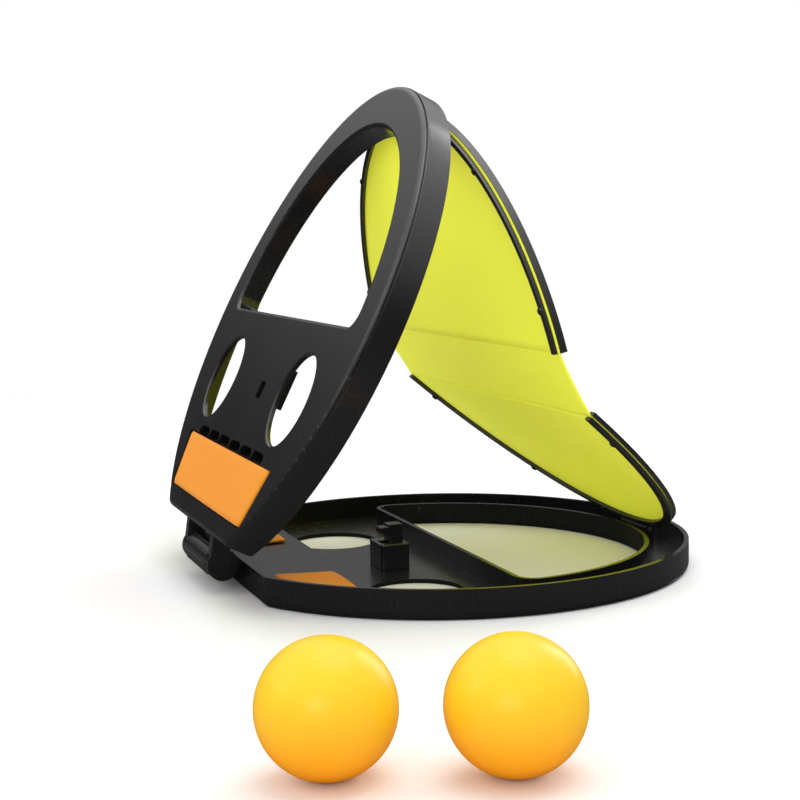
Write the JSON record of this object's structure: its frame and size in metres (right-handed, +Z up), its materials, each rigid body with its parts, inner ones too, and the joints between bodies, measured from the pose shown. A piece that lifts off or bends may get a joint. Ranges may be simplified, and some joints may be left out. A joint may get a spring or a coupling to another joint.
{
  "type": "hinged ball catcher set",
  "caption": "Two round hinged shells spring open and stretch an elastic membrane between two half-ring net frames, with a hand strap on each shell, a latch and two balls.",
  "frame": {"origin": "centre of the lower shell's round outline, on the face that it rests on", "axes": "+X from the hinge towards the tip of the lower shell, +Y across it along the hinge axis, +Z up"},
  "size_m": [0.2615, 0.4007, 0.2097],
  "materials": {
    "shell": "glossy black moulded plastic",
    "net_frame": "black moulded plastic, slightly satin",
    "membrane": "lime elastic sheet with a fine knit",
    "webbing": "orange ribbed webbing",
    "steel": "plated steel",
    "ball": "yellow-orange celluloid, satin"
  },
  "bodies": {
    "lower_shell": {"lower_shell": "shell", "lower_strap": "webbing", "latch_base": "shell", "latch_screws": "steel", "hinge_spring": "steel", "lower_tip_pin": "steel"},
    "upper_shell": {"upper_shell": "shell", "upper_strap": "webbing", "hinge_pin": "steel", "latch_catch": "shell", "upper_tip_pin": "steel"},
    "latch_hook": {"latch_hook": "shell"},
    "lower_net": {"lower_net_band": "net_frame", "lower_net_clamp": "net_frame", "lower_net_pegs": "net_frame", "membrane_lower": "membrane", "membrane_middle": "membrane"},
    "upper_net": {"upper_net_band": "net_frame", "upper_net_clamp": "net_frame", "upper_net_pegs": "net_frame", "membrane_upper": "membrane"},
    "ball_1": {"ball_1": "ball"},
    "ball_2": {"ball_2": "ball"}
  },
  "joints": [
    {"name": "main_hinge", "type": "hinge", "parent": "lower_shell", "child": "upper_shell", "pos_m": [-0.1056, 0, 0.0124], "axis": [0, -1, 0], "range_deg": [-63.3, 0], "stiffness_Nm_per_rad": 0.15, "springref_deg": 68.75},
    {"name": "lower_net_hinge", "type": "hinge", "parent": "lower_shell", "child": "lower_net", "pos_m": [0.0991, 0, 0.0089], "axis": [0, 1, 0], "range_deg": [-40.5, 0], "deforming": ["membrane_middle"]},
    {"name": "upper_net_hinge", "type": "hinge", "parent": "upper_shell", "child": "upper_net", "pos_m": [-0.01675, 0, 0.19685], "axis": [0, -1, 0], "range_deg": [-40.5, 0], "deforming": ["membrane_upper"]},
    {"name": "hook_slide", "type": "slide", "parent": "lower_shell", "child": "latch_hook", "axis": [1, 0, 0], "range_m": [-0.0028, 0]},
    {"name": "ball_1_lift", "type": "slide", "parent": "lower_shell", "child": "ball_1", "axis": [0, 0, 1], "range_m": [0, 0.1]},
    {"name": "ball_2_lift", "type": "slide", "parent": "lower_shell", "child": "ball_2", "axis": [0, 0, 1], "range_m": [0, 0.1]}
  ],
  "couplings": [
    {"joint": "lower_net_hinge", "follows": "main_hinge", "ratio": 0.63981},
    {"joint": "upper_net_hinge", "follows": "main_hinge", "ratio": 0.63981}
  ]
}
